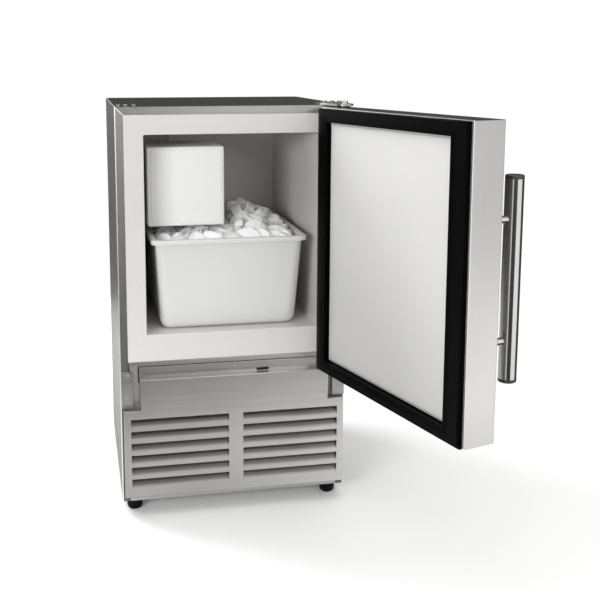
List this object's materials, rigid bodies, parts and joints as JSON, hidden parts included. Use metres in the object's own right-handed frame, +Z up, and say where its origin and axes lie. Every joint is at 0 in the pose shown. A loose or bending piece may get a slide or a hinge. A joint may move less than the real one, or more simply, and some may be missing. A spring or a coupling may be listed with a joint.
{
  "type": "ice maker",
  "caption": "Compact under-counter ice maker cabinet with a hinged insulated door standing open, a removable ice bin, an ice making module, a louvred front grille and levelling feet.",
  "frame": {"origin": "on the floor under the middle of the cabinet's width and depth, door, grille and feet left out", "axes": "+X to the right when facing the door, +Y towards the back, +Z up"},
  "size_m": [0.4934, 0.732, 0.6455],
  "materials": {
    "side_steel": "brushed dark stainless, satin",
    "door_steel": "brushed stainless, satin",
    "grille_steel": "brushed stainless, satin",
    "bright_steel": "brushed stainless, satin",
    "hinge_steel": "plated steel, satin",
    "handle_steel": "brushed stainless, satin",
    "handle_caps": "satin",
    "screw_steel": "plated",
    "galvanised": "zinc coated sheet, matte",
    "white_liner": "smooth moulded, satin",
    "door_white": "smooth moulded, satin",
    "white_bin": "smooth moulded, satin",
    "white_cover": "fine grained, satin",
    "foam": "closed cell foam, matte",
    "gasket_rubber": "soft magnetic gasket, matte",
    "black_rubber": "matte",
    "black_plastic": "matte",
    "foot_plastic": "matte",
    "ejector_plastic": "matte",
    "water_plastic": "translucent tube",
    "mold_aluminium": "cast, dark coated",
    "fin_aluminium": "thin rolled",
    "copper": "drawn copper tube",
    "ice": "cloudy, frosted",
    "black_paint": "black enamel"
  },
  "bodies": {
    "cabinet": {"base_pan": "galvanised", "compartment_deck": "galvanised", "compressor": "black_paint", "compressor_grommets": "black_rubber", "condenser_fins": "fin_aluminium", "condenser_tube": "copper", "control_box": "galvanised", "evaporator_coil": "copper", "fan_motor": "black_paint", "fan_shroud": "galvanised", "fill_cup": "white_cover", "filter_drier": "copper", "foam_insulation": "foam", "front_posts": "galvanised", "front_rail": "bright_steel", "front_screws": "screw_steel", "gearmotor": "galvanised", "grille_clips": "screw_steel", "grille_panel": "grille_steel", "hinge_blank_plate": "bright_steel", "hinge_pins": "screw_steel", "ice_mold": "mold_aluminium", "ice_stripper": "white_cover", "icemaker_bracket": "galvanised", "icemaker_cover": "white_cover", "inner_liner": "white_liner", "left_side_panel": "side_steel", "lower_hinge_bracket": "hinge_steel", "mold_heater": "screw_steel", "power_gland": "black_plastic", "rail_grommet": "black_rubber", "rear_panel": "galvanised", "rear_screws": "screw_steel", "rear_service_cover": "galvanised", "refrigerant_lines": "copper", "right_side_panel": "side_steel", "top_hinge_plate": "hinge_steel", "top_panel": "side_steel", "top_screws": "screw_steel", "trim_strip": "bright_steel", "water_tube": "water_plastic", "water_valve": "black_plastic"},
    "door": {"door_skin": "door_steel", "door_foam": "foam", "door_liner": "door_white", "door_gasket": "gasket_rubber", "handle_bar": "handle_steel", "handle_end_caps": "handle_caps", "handle_standoffs": "handle_steel", "hinge_bushings": "black_plastic"},
    "bin": {"ice_bin": "white_bin"},
    "ejector": {"ejector_rotor": "ejector_plastic", "drive_gear": "ejector_plastic"},
    "pinion": {"motor_pinion": "ejector_plastic"},
    "bail": {"shutoff_arm": "screw_steel"},
    "fan": {"fan_blade": "black_plastic"},
    "foot_front_left": {"front_left_foot": "foot_plastic"},
    "foot_front_right": {"front_right_foot": "foot_plastic"},
    "foot_rear_left": {"rear_left_foot": "foot_plastic"},
    "foot_rear_right": {"rear_right_foot": "foot_plastic"}
  },
  "joints": [
    {"name": "door_swing", "type": "hinge", "parent": "cabinet", "child": "door", "pos_m": [0.1608, -0.2108, 0], "axis": [0, 0, 1], "range_deg": [-105.3, 9.7]},
    {"name": "bin_slide", "type": "slide", "parent": "cabinet", "child": "bin", "axis": [0, -1, 0], "range_m": [0, 0.26]},
    {"name": "ejector_spin", "type": "hinge", "parent": "cabinet", "child": "ejector", "pos_m": [-0.07, 0, 0.505], "axis": [0, 1, 0], "continuous": true},
    {"name": "pinion_spin", "type": "hinge", "parent": "cabinet", "child": "pinion", "pos_m": [-0.1, -0.062, 0.505], "axis": [0, 1, 0], "continuous": true},
    {"name": "bail_swing", "type": "hinge", "parent": "cabinet", "child": "bail", "pos_m": [-0.04, 0, 0.474], "axis": [0, 1, 0], "range_deg": [0, 40]},
    {"name": "fan_spin", "type": "hinge", "parent": "cabinet", "child": "fan", "pos_m": [-0.086, -0.09, 0.132], "axis": [0, 1, 0], "continuous": true},
    {"name": "foot_front_left_screw", "type": "slide", "parent": "cabinet", "child": "foot_front_left", "axis": [0, 0, -1], "range_m": [0, 0.015]},
    {"name": "foot_front_right_screw", "type": "slide", "parent": "cabinet", "child": "foot_front_right", "axis": [0, 0, -1], "range_m": [0, 0.015]},
    {"name": "foot_rear_left_screw", "type": "slide", "parent": "cabinet", "child": "foot_rear_left", "axis": [0, 0, -1], "range_m": [0, 0.015]},
    {"name": "foot_rear_right_screw", "type": "slide", "parent": "cabinet", "child": "foot_rear_right", "axis": [0, 0, -1], "range_m": [0, 0.015]}
  ],
  "couplings": [
    {"joint": "pinion_spin", "follows": "ejector_spin", "ratio": -4}
  ]
}
